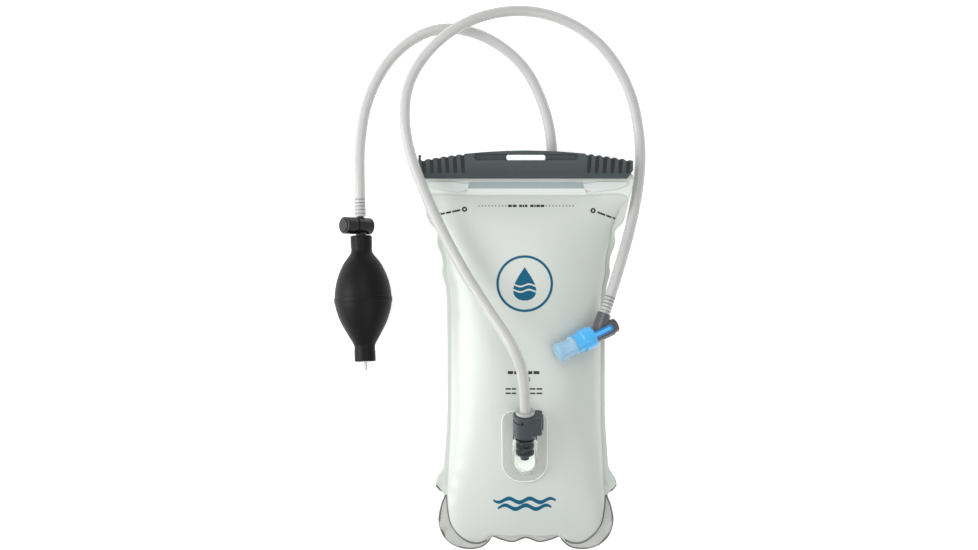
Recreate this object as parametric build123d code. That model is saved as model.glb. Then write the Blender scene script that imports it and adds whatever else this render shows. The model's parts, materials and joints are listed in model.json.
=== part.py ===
from build123d import *
import os
from math import cos, radians, sin, tan

os.makedirs("parts", exist_ok=True)

# A two-litre drinking-water bladder, lying filled on its back. Millimetres, +Z up, +Y towards
# the slide closure. The origin is the middle of the flat patch that the bag rests on.

# Bag
film = 0.6                # thickness of the welded film
seam_z = 31.0             # height of the side seams above the table
bag_half_width = 66.5     # half width of the filled bag at its middle
front_rise = 31.0         # crown of the front panel above the seam
back_drop = 36.0          # depth of the back panel below the seam, before the table flattens it
skin_gap = 0.2            # space between a moulded piece and the film under it

# Closure
bar_half_length = 93.0
bar_thick = 14.0
bar_low_y = 148.5
bar_top_y = 173.0
rail_r = 3.2              # round edge bead that the slide bar grips
rail_y = 157.0
slide_gap = 0.35          # clearance inside the slide bar
hang_slot = (34.0, 5.0)
stiffener_thick = 1.2

# Hose and quick connectors
hose_od = 9.5
hose_id = 6.4
fit_gap = 0.08            # radial running clearance of pushed and turned fits
plug_r = 5.92
socket_wall = 4.28        # from the plug to the outside of the socket
socket_long = 20.5
plug_seat = 6.5           # how far up the socket its bore stops
hood_side = 0.4           # how far the spout's hood stands out past the socket
hood_wall = 1.8
spout_r = 3.9             # stem of the socket inside the hood
spout_long = 22.8
hood_long = 26.9
lug_side = 4.4            # how far the button's lug stands out past the socket
latch_low = 14.6
latch_wall = 1.98         # ring of the latch plate round the plug
latch_thick = 2.5
latch_travel = 2.0
barb_long = 16.0
barb_pitch = 4.0

# Drinking valve
body_r = 7.4
spigot_r = 6.6
collar_r = 9.85
mouth_r = 8.15
branch_r = 6.1
branch_at = 19.4          # where the hose branch meets the valve's axis, from the knuckle

# Squeeze pump
bulb_r = 25.0
bulb_wall = 2.8
neck_r = 9.4
stem_r = 6.85
tee_r = 7.5
tee_half = 14.15
vent_travel = 2.5

socket_r = plug_r + socket_wall
hood_r = socket_r + hood_side
lug_x = socket_r + lug_side
ring_r = plug_r + latch_wall
pocket_x = plug_r + 1.38                # inner wall of the button's pocket
button_x = pocket_x + latch_travel + 0.2

port_at = Vector(-1.5, -72, 64.3 + socket_r)    # lower end of the outlet socket
port_dir = Vector(0, 0.906, 0.423)
air_at = Vector(24, 125, hood_r + 0.2)  # lower end of the air socket
hose_start = socket_long + 2.9          # along each socket's axis

drink_points = [(-1.5, -22.3, 97.7), (-13.2, 6.4, 98.5), (-34, 36, 82), (-62, 81, 60), (-88, 134, 50),
                (-107, 188, 46), (-103, 241, 30), (-60, 286, 27), (0.5, 301.5, 8), (57, 281, 4.75),
                (92, 235, 4.75), (103.3, 175, 8), (95.5, 120, 24), (77.1, 59.1, 51.1), (67, 31.2, 55.6)]
air_points = [(24, 178.4, 10.8), (17, 214, 4.75), (-1.5, 252, 4.75), (-38.5, 278.5, 4.75),
              (-80.5, 284.5, 4.75), (-117.5, 261.5, 4.75), (-140, 222, 4.75), (-146.5, 181, 9.4)]

made = {}


def keep(name, shape):
    made[name] = shape


def rod(radius, low, high):
    return Pos(0, 0, (low + high) / 2) * Cylinder(radius, high - low)


def tube(outer, inner, low, high):
    return rod(outer, low, high) - rod(inner, low - 1, high + 1)


def block(x0, x1, y0, y1, z0, z1):
    return Pos((x0 + x1) / 2, (y0 + y1) / 2, (z0 + z1) / 2) * Box(x1 - x0, y1 - y0, z1 - z0)


def cross_rod(radius, low, high):
    """A rod along X."""
    return Rot(0, 90, 0) * rod(radius, low, high)


def coil(radius, wire, low, high, turns):
    """A compression spring along Z."""
    line = Helix((high - low) / turns, high - low, radius, center=(0, 0, low))
    return sweep(Plane(line @ 0, z_dir=line % 0) * Circle(wire), line, is_frenet=True)


def o_ring(radius, wire, at):
    return Pos(0, 0, at) * Torus(radius, wire)


def barb(low, high, rings_from):
    """A hose tail: a neck with rings that grip the bore of the hose, which ends in a cone."""
    bore_r = hose_id / 2
    tail = rod(bore_r - 0.5, low, high)
    at = rings_from
    while at + barb_pitch / 2 < high:
        tail += Pos(0, 0, at + 0.9) * Cone(bore_r - 0.05, bore_r - 0.45, 1.8)
        at += barb_pitch
    return tail


# ---------------------------------------------------------------- bag

# Along the bag: place, share of the half width, share of the rise.
pillow_stations = [(134, 1.29, 0.03), (122, 1.24, 0.22), (104, 1.13, 0.48), (84, 1.05, 0.69),
                   (54, 1.01, 0.88), (10, 0.99, 1.0), (-39, 1.0, 1.0), (-79, 1.02, 0.92),
                   (-108, 1.04, 0.76), (-128, 1.02, 0.55), (-145, 0.95, 0.34), (-155, 0.80, 0.15),
                   (-160, 0.65, 0.04)]


def pillow(side, rise, grow, skirt=0.0):
    """One half of the filled bag, above (side 1) or below (side -1) the seam."""
    last = len(pillow_stations) - 1
    sections = []
    for number, (y, width_share, rise_share) in enumerate(pillow_stations):
        half = bag_half_width * width_share + grow
        top = max(rise * rise_share + grow, 0.15)
        if number == 0:
            y += grow
        if number == last:
            y -= grow
        arch = Bezier((-half, 0), (-0.95 * half, top * 4 / 3), (0.95 * half, top * 4 / 3), (half, 0))
        if skirt:
            base = Polyline((half, 0), (half, -skirt), (-half, -skirt), (-half, 0))
        else:
            base = Line((half, 0), (-half, 0))
        face = make_face(arch + base)
        plane = Plane(origin=(0, y, seam_z), x_dir=(side, 0, 0), z_dir=(0, -1, 0))
        if side < 0:
            plane = Plane(origin=(0, y, seam_z), x_dir=(1, 0, 0), z_dir=(0, 1, 0))
        sections.append(plane * face)
    return loft(sections)


def above_table(shape, height=0.0):
    return shape & block(-400, 400, -400, 400, height, 300)


def bag_outline():
    """The welded edge: straight at the mouth, waisted sides, two corner lobes and a wavy foot."""
    wider = bag_half_width - 66.5
    side = [(91.5, 153.5), (88, 124), (83, 110), (76, 87), (71.5, 65), (68.4, 16), (68.4, -57),
            (70.5, -92), (73.5, -105), (78, -117.5), (70, -129)]
    side = [(x + wider, y) for x, y in side]
    flank = Spline(*side)
    lobe = Spline(side[-1], (75.5 + wider, -148), (66 + wider, -168), (47.7 + wider, -173.4),
                  (34 + wider, -168), (29.3 + wider, -160.4))
    foot = Spline((29.3 + wider, -160.4), (22.5 + wider, -164), (13 + wider, -165.5), (0, -163.5))
    half = flank + lobe + foot
    mouth = Line((-side[0][0], side[0][1]), side[0])
    return make_face(half + mirror(half, about=Plane.YZ) + mouth)


def panel(side, rise):
    """A film panel: a thin filled shell with a flat welded edge round it."""
    edge = extrude(Pos(0, 0, seam_z) * bag_outline(), side * film)
    return edge + pillow(side, rise, 0)


front_panel = panel(1, front_rise) - pillow(1, front_rise, -film, skirt=1)
back_panel = above_table(panel(-1, back_drop)) - above_table(pillow(-1, back_drop, -film, skirt=1), film)


def moulded_on(side, rise, outline, thick):
    """A moulded patch that follows the film, with a small space under it."""
    prism = Pos(0, 0, -5) * extrude(outline, 120)
    skin = pillow(side, rise, skin_gap + thick) - pillow(side, rise, skin_gap, skirt=2)
    return above_table(prism & skin, 0.1)


# ---------------------------------------------------------------- quick connectors
# Built along Z, with the socket's lower end at 0, the latch button at +X and the bag at +Y.

def hood(radius):
    """The round-ended space or outer face of the moulded spout."""
    return rod(radius, -hood_long, -0.3) + Pos(0, 0, -hood_long) * Sphere(radius)


def socket():
    bore_r = plug_r + fit_gap
    body = fillet(rod(socket_r, 0, socket_long).edges().filter_by(GeomType.CIRCLE), 0.8)
    lug = block(0, lug_x, -socket_r * 0.75, socket_r * 0.75, 3.5, socket_long - 0.4)
    body += fillet(lug.edges().filter_by(Axis.Z).sort_by(Axis.X)[-2:], 3)
    body += rod(spout_r, -spout_long, 1)
    for ring in range(3):
        body += rod(hood_r - hood_wall - 0.6, -4.6 - 6.2 * ring, -3.4 - 6.2 * ring)
    body -= rod(bore_r, plug_seat, socket_long + 1)
    body -= rod(2.4, -spout_long - 1, plug_seat + 1)
    low = latch_low - 0.25
    high = latch_low + latch_thick + 0.25
    away = latch_travel + 0.1
    channel_r = ring_r + 0.2
    for shift in (0, -away):
        body -= Pos(shift, 0, 0) * rod(channel_r, low, high)
    body -= block(-away, 0, -channel_r, channel_r, low, high)
    body -= block(2, button_x + 1.8, -5.8, 5.8, low, high)
    window = block(-socket_r - 1, -1.5, -socket_r - 1, 3, low, high)
    body -= fillet(window.edges().filter_by(Axis.Y).sort_by(Axis.X)[-2:], 1.4)
    body -= block(pocket_x, lug_x + 1, -4.5, 4.5, 6.7, 18.3)
    return body


def latch():
    high = latch_low + latch_thick
    plate = rod(ring_r, latch_low, high) + block(4, button_x + 1.5, -5.6, 5.6, latch_low, high)
    plate += rod(socket_r - 0.6, latch_low, high) & block(-socket_r, -3, -socket_r, 2.6, latch_low, high)
    hole_r = plug_r + 0.1
    for shift in (0, latch_travel + 0.05):
        plate -= Pos(shift, 0, 0) * rod(hole_r, 0, 30)
    plate -= block(0, latch_travel, -hole_r, hole_r, 0, 30)
    button = block(button_x, lug_x + 1, -4.2, 4.2, 7, 18)
    button = fillet(button.faces().sort_by(Axis.X)[-1].edges(), 1)
    return plate + button - Pos(0, 0, 10.2) * cross_rod(1.75, button_x - 1, button_x + 3.9)


def latch_spring():
    return Pos(0, 0, 10.2) * Rot(0, 90, 0) * coil(1.35, 0.22, pocket_x + 0.3, button_x + 3.6, 5)


def plug():
    barrel = rod(plug_r, plug_seat + 0.5, socket_long + 0.1)
    barrel -= tube(plug_r + 1, plug_r - 1.5, plug_seat + 2.2, plug_seat + 4.2)
    tail = rod(hose_id / 2 - 0.1, socket_long, hose_start + 0.5)
    tail += barb(hose_start, hose_start + barb_long, hose_start + 1)
    return barrel + tail - rod(2.2, 0, 80)


def plug_collar():
    return fillet(rod(8.2, socket_long + 0.3, hose_start - 0.1).edges(), 0.6) - rod(hose_id / 2, 0, 60)


def port(side, rise, frame, outline):
    """The clear spout: a patch on the film with a round-ended hood that takes the socket's stem."""
    outer = frame * hood(hood_r) - pillow(side, rise, skin_gap, skirt=2)
    patch = moulded_on(side, rise, outline, 1.5)
    inside = frame * (hood_space() + rod(spout_r + 0.05, -6, 1) + rod(socket_r + 0.25, -0.25, socket_long))
    return above_table(patch + outer, 0.1) - inside


def hood_space():
    inner_r = hood_r - hood_wall
    return rod(inner_r, -hood_long, -2.2) + Pos(0, 0, -hood_long) * Sphere(inner_r)


front_frame = Plane(origin=port_at, x_dir=(1, 0, 0), z_dir=port_dir).location
back_frame = Plane(origin=air_at, x_dir=(-1, 0, 0), z_dir=(0, 1, 0)).location
front_patch = Pos(port_at.X, -83.7) * RectangleRounded(40, 63.5, 12)
back_patch = Pos(air_at.X, 108) * RectangleRounded(40, 50, 12)

keep("front_panel", front_panel - front_frame * hood_space())
keep("back_panel", back_panel - back_frame * hood_space())
keep("outlet_port", port(1, front_rise, front_frame, front_patch))
keep("air_port", port(-1, back_drop, back_frame, back_patch))
for name, frame in (("outlet", front_frame), ("air", back_frame)):
    keep(name + "_socket", frame * socket())
    keep(name + "_latch", frame * latch())
    keep(name + "_latch_spring", frame * latch_spring())
    keep(name + "_plug", frame * plug())
    keep(name + "_plug_seal", frame * o_ring(plug_r - 0.78, 0.7, plug_seat + 3.2))
    keep(name + "_plug_collar", frame * plug_collar())


# ---------------------------------------------------------------- closure

def half_bead(side):
    """Half of the round edge bead, welded to the outside of one panel's mouth."""
    reach = bar_half_length - 4
    bead = Pos(0, rail_y, seam_z + side * film) * cross_rod(rail_r, -reach, reach)
    foot = block(-reach, reach, rail_y - 6, rail_y, 0, 1.2)
    half = bead & block(-200, 200, 0, 300, seam_z + film, 99)
    if side < 0:
        half = bead & block(-200, 200, 0, 300, -99, seam_z - film)
        foot = mirror(foot, about=Plane.XY)
    return half + Pos(0, 0, seam_z + side * film) * foot


def slide_bar():
    low = -bar_half_length
    high = bar_half_length
    mid_z = seam_z
    top = mid_z + bar_thick / 2
    bottom = mid_z - bar_thick / 2
    section = Polyline((bar_low_y, bottom + 1), (bar_low_y, top - 1), (bar_low_y + 2, top), (162, top),
                       (bar_top_y, top - 3), (bar_top_y, bottom + 3), (162, bottom), (bar_low_y + 2, bottom),
                       close=True)
    body = Pos(low, 0, 0) * extrude(Plane.YZ * make_face(section), 2 * bar_half_length)
    arch = ThreePointArc((low, bar_top_y - 9), (0, bar_top_y), (high, bar_top_y - 9))
    rest = Polyline((high, bar_top_y - 9), (high, bar_low_y + 7), (high - 5, bar_low_y),
                    (low + 4, bar_low_y), (low, bar_low_y + 7), (low, bar_top_y - 9))
    body &= extrude(make_face(arch + rest), 60)
    channel_r = rail_r + slide_gap
    for side in (1, -1):
        body -= Pos(0, rail_y, mid_z + side * film) * cross_rod(channel_r, low - 1, high + 1)
    body -= block(low - 1, high + 1, rail_y, rail_y + channel_r, mid_z - film, mid_z + film)
    lip = film + 1.2 + slide_gap
    body -= block(low - 1, high + 1, bar_low_y - 1, rail_y, mid_z - lip, mid_z + lip)
    slot = RectangleRounded(hang_slot[0], hang_slot[1], 2)
    body -= Pos(0, 167, 0) * extrude(slot, 60)
    recess = RectangleRounded(90, 5.6, 2.5)
    body -= Pos(0, 167.2, top - 4.5) * extrude(recess, 9)
    horn = block(low - 0.6, low + 1.8, 158, bar_top_y - 3.8, mid_z - 5, mid_z + 5)
    body += fillet(horn.edges().filter_by(Axis.Z), 1)
    pocket = extrude(Pos(0, 11) * SlotOverall(25, 3.3, rotation=90), 20)
    for end in (-1, 1):
        for rib in range(6):
            x = end * (54.5 + 6.8 * rib)
            grip = Pos(x, bar_low_y + 5.6, 0) * Rot(0, 0, -4 * end)
            body -= grip * Pos(0, 0, top - 1.2) * Rot(-9, 0, 0) * pocket
            body -= grip * Pos(0, 0, bottom + 1.2) * Rot(9, 0, 0) * Pos(0, 0, -20) * pocket
            edge_y = bar_top_y - 9 * (x / high) ** 2
            body -= Pos(x - 0.8, edge_y + 1.4, mid_z) * Cylinder(2.4, 20)
    return body


def stiffener(side):
    """The stiff mouth strip under the slide bar: a thin middle with two deeper wings."""
    half = [(0, 138.6), (52, 138.6), (58, 136.4), (80, 139.5), (88.5, 143), (88.5, 146), (62, 146),
            (55, 144.4), (0, 144.4)]
    right = make_face(Polyline(*half, close=True))
    outline = right + mirror(right, about=Plane.YZ)
    low = seam_z + film if side > 0 else seam_z - film - stiffener_thick
    return Pos(0, 0, low) * extrude(outline, stiffener_thick)


keep("front_bead", half_bead(1))
keep("back_bead", half_bead(-1))
keep("front_stiffener", stiffener(1))
keep("back_stiffener", stiffener(-1))
keep("slide_bar", slide_bar())


# ---------------------------------------------------------------- drinking valve
# Built along Z from the knuckle to the mouth, with the collar's tab at +X and the branch at +Y.

valve_dir = Vector(-0.850, -0.399, 0.342).normalized()
hose_end = Vector(*drink_points[-1])
branch_dir = (Vector(*drink_points[-2]) - hose_end).normalized()
branch_long = 18.6
knuckle = hose_end - branch_dir * branch_long - valve_dir * branch_at
up_dir = (Vector(0, 0, 1) - valve_dir * valve_dir.Z).normalized()
valve_frame = Plane(origin=knuckle, x_dir=up_dir, z_dir=valve_dir).location
branch_frame = Plane(origin=hose_end - branch_dir * branch_long, x_dir=(1, 0, 0), z_dir=branch_dir).location


def valve_elbow():
    body = fillet(rod(6.25, 0, 10).edges().sort_by(Axis.Z)[0], 1) + rod(body_r, 5, 24) + rod(spigot_r, 23, 34)
    body = valve_frame * body + branch_frame * rod(branch_r, 0, branch_long)
    body += branch_frame * barb(branch_long - 1, branch_long + barb_long, branch_long + 1)
    body -= valve_frame * rod(4, 6, 35)
    body -= valve_frame * tube(spigot_r + 1, spigot_r - 1.3, 29, 31)
    return body - branch_frame * rod(2.0, 0, branch_long + barb_long + 1)


def valve_collar():
    ring = rod(collar_r, 24.3, 35.6) + rod(8.5, 35, 43.1)
    ring = fillet(ring.edges().filter_by(GeomType.CIRCLE), 0.6)
    ring -= rod(spigot_r + fit_gap, 20, 34.6)
    ring -= rod(4.5, 30, 40)
    ring -= rod(6.0, 38, 45)
    tab = extrude(Plane.YZ * Pos(0, 16.5) * RectangleRounded(6, 19, 2.9), 20) & rod(collar_r, 0, 40)
    rib = extrude(Plane.YZ * Pos(0, 15.5) * RectangleRounded(2.6, 14, 1.2), 20) & rod(collar_r + 0.7, 0, 40)
    return ring + (tab + rib - rod(body_r + 0.35, 0, 26))


def mouthpiece():
    body = rod(8.85, 43.25, 46) + rod(5.92, 38.2, 44)
    tip = rod(mouth_r, 45, 60.5)
    body += fillet(tip.edges().sort_by(Axis.Z)[-1], 3)
    return body - rod(4, 37, 46) - rod(mouth_r - 2, 45, 58.5)


def shut_off_plug():
    core = rod(3.92, 31, 37.4)
    return core - block(2.2, 6, -6, 6, 30, 36)


keep("valve_elbow", valve_elbow())
keep("valve_collar", valve_frame * valve_collar())
keep("valve_seal", valve_frame * o_ring(spigot_r - 0.63, 0.58, 30))
keep("mouthpiece", valve_frame * mouthpiece())
keep("shut_off_plug", valve_frame * shut_off_plug())


# ---------------------------------------------------------------- squeeze pump
# Built along Z from the foot of the bulb to the hose tail. The tee's barrel lies along X here.

band_r = bulb_r + 0.5
bulb_mid = 53.8
tee_at = 118.8
hose_stop = tee_at + 8.2
core_r = 5.5
pump_tilt = radians(4)
pump_turn = radians(2.1)
pump_dir = Vector(-sin(pump_turn), cos(pump_turn), 0) * cos(pump_tilt) - Vector(0, 0, sin(pump_tilt))
bulb_centre = Vector(-142.1, 42.8, band_r + 0.2)
pump_foot = bulb_centre - pump_dir * bulb_mid
pump_frame = Plane(origin=pump_foot, x_dir=(1, 0, 0), z_dir=pump_dir).location
barrel_turn = 180 + 42   # the vent end points left and up
barrel_shift = 4.75      # the barrel reaches further out on its vent side
barrel = Pos(0, 0, tee_at) * Rot(0, 0, barrel_turn) * Pos(barrel_shift, 0, 0)


def squeeze_bulb():
    low_neck = Line((9.25, 0), (9.25, 14))
    lower = Spline((9.25, 14), (14.6, 24), (20.1, 34.4), (23.6, 44.6), (bulb_r, bulb_mid),
                   tangents=[(0.4, 1), (0, 1)])
    upper = Spline((bulb_r, bulb_mid), (24, 65.2), (21.2, 75.4), (16.4, 85.7), (neck_r, 95),
                   tangents=[(0, 1), (-0.6, 1)])
    outline = low_neck + lower + upper
    outline += Polyline((neck_r, 95), (neck_r, 110), (0, 110), (0, 0), (9.25, 0))
    body = revolve(Plane.XZ * make_face(outline), Axis.Z)
    hollow = Spline((6, 17), (17, 34.4), (bulb_r - bulb_wall, bulb_mid), (18, 75.4), (6, 92),
                    tangents=[(1, 1), (-1, 1)])
    hollow += Polyline((6, 92), (0, 92), (0, 17), (6, 17))
    body += rod(band_r, bulb_mid - 2.5, bulb_mid + 2.5)
    body -= revolve(Plane.XZ * make_face(hollow), Axis.Z)
    return body - rod(6.75, -1, 18) - rod(stem_r + 0.05, 90, 111)


def intake_valve():
    body = rod(6.7, 0.3, 12) + rod(1.8, -8, 1)
    return body - rod(0.9, -9, 13) - rod(2.6, 4, 9.4)


def pump_tee():
    body = rod(stem_r, 98, 110) + rod(4.5, 109, tee_at + 7)
    body += barrel * cross_rod(core_r, -11, 7)
    body += barb(tee_at + 5, tee_at + 8.2 + barb_long * 0.7, tee_at + 9.2)
    body -= rod(1.5, 90, 150) + rod(2.6, 101, 106.4)
    return body - barrel * cross_rod(1.9, -barrel_shift, 8)


def barrel_sleeve(low, high):
    sleeve = cross_rod(tee_r, low, high)
    end = sleeve.edges().filter_by(GeomType.CIRCLE).sort_by(Axis.X)
    outer = end[-1] if high > 0 else end[0]
    return barrel * (fillet(outer, 0.8) - cross_rod(core_r + 0.05, -12, tee_half + 1)) - rod(4.6, 90, 150)


def vent_button():
    head = cross_rod(core_r - 0.05, 11.8, tee_half + 0.8)
    return barrel * (fillet(head.edges().sort_by(Axis.X)[-1], 0.6) + cross_rod(1.8, 4, 12))


def vent_spring():
    return barrel * Rot(0, 90, 0) * coil(3.4, 0.3, 7.4, 11.4, 3.5)


keep("squeeze_bulb", pump_frame * squeeze_bulb())
keep("intake_valve", pump_frame * intake_valve())
keep("intake_ball", pump_frame * Pos(0, 0, 6.2) * Sphere(2.1))
keep("pump_tee", pump_frame * pump_tee())
keep("delivery_ball", pump_frame * Pos(0, 0, 103.2) * Sphere(2.1))
keep("vent_barrel", pump_frame * barrel_sleeve(2.8, tee_half))
keep("tee_cap", pump_frame * barrel_sleeve(-tee_half, 1.4))
keep("vent_button", pump_frame * vent_button())
keep("vent_spring", pump_frame * vent_spring())


# ---------------------------------------------------------------- hoses

def hose(name, points):
    """A hose along straight runs joined by tangent arcs."""
    corners = [Vector(*point) for point in points]
    radii = []
    for before, corner, after in zip(corners, corners[1:], corners[2:]):
        run = min((corner - before).length, (after - corner).length)
        turn = radians((corner - before).get_angle(after - corner))
        radii.append(0.45 * run / tan(turn / 2))
    line = FilletPolyline(*corners, radius=radii)
    ring = Circle(hose_od / 2) - Circle(hose_id / 2)
    solid = sweep(Plane(origin=line @ 0, z_dir=line % 0) * ring, line)
    runs = [(b - a).length for a, b in zip(corners, corners[1:])]
    print(name, "length", round(line.length, 1), "radii", [round(r) for r in radii])
    ratio = solid.volume / (ring.area * line.length)
    print(name, "runs", [round(r) for r in runs], "volume ratio", round(ratio, 4))
    return solid


drink_start = port_at + port_dir.normalized() * hose_start
air_start = air_at + Vector(0, hose_start, 0)
pump_end = pump_foot + pump_dir * hose_stop
pump_lead = pump_foot + pump_dir * (hose_stop + 24)
keep("drink_hose", hose("drink_hose", [drink_start] + drink_points))
keep("air_hose", hose("air_hose", [air_start] + air_points + [pump_lead, pump_end]))

for name, shape in made.items():
    export_step(shape, "parts/" + name + ".step")
    print(name, round(shape.volume), len(shape.solids()))
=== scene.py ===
import bpy
import bmesh
import json
import math
from mathutils import Matrix, Vector, noise
from mathutils.bvhtree import BVHTree


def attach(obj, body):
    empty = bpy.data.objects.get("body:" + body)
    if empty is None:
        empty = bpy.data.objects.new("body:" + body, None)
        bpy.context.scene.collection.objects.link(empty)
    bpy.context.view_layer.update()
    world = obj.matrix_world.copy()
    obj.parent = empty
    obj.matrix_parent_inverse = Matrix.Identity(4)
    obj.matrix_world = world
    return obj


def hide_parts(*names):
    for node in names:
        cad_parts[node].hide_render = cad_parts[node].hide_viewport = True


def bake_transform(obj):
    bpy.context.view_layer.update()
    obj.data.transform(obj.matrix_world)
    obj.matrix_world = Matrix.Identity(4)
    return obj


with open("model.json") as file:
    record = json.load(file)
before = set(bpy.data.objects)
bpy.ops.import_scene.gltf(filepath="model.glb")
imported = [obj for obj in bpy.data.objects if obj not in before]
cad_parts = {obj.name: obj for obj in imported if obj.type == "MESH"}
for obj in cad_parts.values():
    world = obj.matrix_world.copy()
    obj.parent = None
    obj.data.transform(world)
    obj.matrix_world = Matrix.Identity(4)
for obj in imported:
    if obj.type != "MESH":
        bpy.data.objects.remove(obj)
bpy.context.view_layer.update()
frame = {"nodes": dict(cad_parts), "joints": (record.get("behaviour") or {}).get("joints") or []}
mm = 0.001
root = "reservoir"
joints = {joint["name"]: joint for joint in frame["joints"]}


# helpers: shapes are worked in millimetres and scaled to metres when the piece is finished


def axisFrame(origin, along, side):
    z = Vector(along).normalized()
    x = (Vector(side) - z * z.dot(Vector(side))).normalized()
    turn = Matrix((x, z.cross(x), z)).transposed().to_4x4()
    return Matrix.Translation(Vector(origin)) @ turn


def clamp(value, low=0.0, high=1.0):
    return max(low, min(high, value))


def smoothStep(value, low, high):
    t = clamp((value - low) / (high - low))
    return t * t * (3 - 2 * t)


def ripple(x, y, size, seed):
    return noise.noise(Vector((x / size, y / size, seed)))


def curvePoint(before, a, b, after, t):
    return 0.5 * (2 * a + (b - before) * t + (2 * before - 5 * a + 4 * b - after) * t * t
                  + (3 * a - before - 3 * b + after) * t ** 3)


def through(points, steps):
    points = [Vector(point) for point in points]
    line = []
    for number in range(len(points) - 1):
        before = points[max(number - 1, 0)]
        a, b = points[number], points[number + 1]
        after = points[min(number + 2, len(points) - 1)]
        line += [curvePoint(before, a, b, after, step / steps) for step in range(steps)]
    return line + [points[-1]]


def finishPiece(name, bm, body, material, nodes=(), place=None, sharp=40):
    if place:
        bmesh.ops.transform(bm, matrix=place, verts=bm.verts)
    bmesh.ops.scale(bm, vec=(mm, mm, mm), verts=bm.verts)
    for face in bm.faces:
        face.smooth = True
    for edge in bm.edges:
        if len(edge.link_faces) == 2 and edge.calc_face_angle(0) > math.radians(sharp):
            edge.smooth = False
    mesh = bpy.data.meshes.new(name)
    bm.to_mesh(mesh)
    bm.free()
    piece = bpy.data.objects.new(name, mesh)
    bpy.context.scene.collection.objects.link(piece)
    mesh.materials.append(material)
    if body:
        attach(piece, body)
    if nodes:
        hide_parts(*nodes)
    return piece


def lathe(profile, steps=48, closed=False):
    bm = bmesh.new()
    verts = [bm.verts.new((r, 0, z)) for r, z in profile]
    edges = [bm.edges.new(pair) for pair in zip(verts, verts[1:])]
    if closed:
        edges.append(bm.edges.new((verts[-1], verts[0])))
    bmesh.ops.spin(bm, geom=verts + edges, cent=(0, 0, 0), axis=(0, 0, 1), angle=2 * math.pi,
                   steps=steps, use_merge=True)
    bmesh.ops.remove_doubles(bm, verts=bm.verts, dist=0.001)
    bmesh.ops.recalc_face_normals(bm, faces=bm.faces)
    return bm


def rounded(profile, radius, segments=3):
    out = []
    count = len(profile)
    for number, point in enumerate(profile):
        if number in (0, count - 1):
            out.append(point)
            continue
        p = Vector(point)
        a, b = Vector(profile[number - 1]) - p, Vector(profile[number + 1]) - p
        cut = min(radius, a.length * 0.45, b.length * 0.45)
        start, end = p + a.normalized() * cut, p + b.normalized() * cut
        for step in range(segments + 1):
            t = step / segments
            q = start * (1 - t) ** 2 + p * 2 * t * (1 - t) + end * t * t
            out.append((q.x, q.y))
    return out


def arcPoints(centre, radius, start, sweep, steps):
    turns = [start + sweep * number / steps for number in range(steps + 1)]
    return [(centre[0] + radius * math.cos(a), centre[1] + radius * math.sin(a)) for a in turns]


def circlePoints(centre, radius, steps):
    return arcPoints(centre, radius, 0, 2 * math.pi, steps)[:-1]


def joinInto(target, source, place=None):
    if place:
        bmesh.ops.transform(source, matrix=place, verts=source.verts)
    mesh = bpy.data.meshes.new("part")
    source.to_mesh(mesh)
    source.free()
    target.from_mesh(mesh)
    bpy.data.meshes.remove(mesh)


def inMillimetres(mesh):
    bm = bmesh.new()
    bm.from_mesh(mesh)
    bmesh.ops.scale(bm, vec=(1 / mm, 1 / mm, 1 / mm), verts=bm.verts)
    return bm


def thicken(bm, thickness):
    bmesh.ops.solidify(bm, geom=bm.faces[:], thickness=thickness)
    bmesh.ops.recalc_face_normals(bm, faces=bm.faces)
    return bm


def softened(node, material, width, body=root):
    bm = inMillimetres(frame["nodes"][node].data)
    bmesh.ops.remove_doubles(bm, verts=bm.verts, dist=0.002)
    # flat faces become whole again, so the bevel finds only the true edges
    bmesh.ops.dissolve_limit(bm, angle_limit=math.radians(1.5), verts=bm.verts, edges=bm.edges)
    piece = finishPiece(node + "_soft", bm, body, material, (node,), sharp=30)
    bevel = piece.modifiers.new("softEdge", "BEVEL")
    bevel.width = width * mm
    bevel.segments = 2
    bevel.limit_method = "ANGLE"
    bevel.angle_limit = math.radians(35)
    bevel.harden_normals = True
    return piece


# shader groups

def newGroup(name, inputs, outputs):
    group = bpy.data.node_groups.new(name, "ShaderNodeTree")
    for label, kind, value in inputs:
        socket = group.interface.new_socket(name=label, in_out="INPUT", socket_type=kind)
        socket.default_value = value
    for label, kind in outputs:
        group.interface.new_socket(name=label, in_out="OUTPUT", socket_type=kind)
    return group, group.nodes.new("NodeGroupInput"), group.nodes.new("NodeGroupOutput")


def addNode(tree, kind, **sockets):
    node = tree.nodes.new(kind)
    for key, value in sockets.items():
        node.inputs[key.replace("_", " ")].default_value = value
    return node


def mathNode(tree, operation, a, b):
    node = tree.nodes.new("ShaderNodeMath")
    node.operation = operation
    for number, value in enumerate((a, b)):
        if isinstance(value, (int, float)):
            node.inputs[number].default_value = value
        else:
            tree.links.new(value, node.inputs[number])
    return node.outputs[0]


def mixColour(tree, factor, a, b):
    node = tree.nodes.new("ShaderNodeMix")
    node.data_type = "RGBA"
    for socket, value in ((node.inputs[0], factor), (node.inputs[6], a), (node.inputs[7], b)):
        if isinstance(value, (int, float, tuple)):
            socket.default_value = value
        else:
            tree.links.new(value, socket)
    return node.outputs[2]


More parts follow.
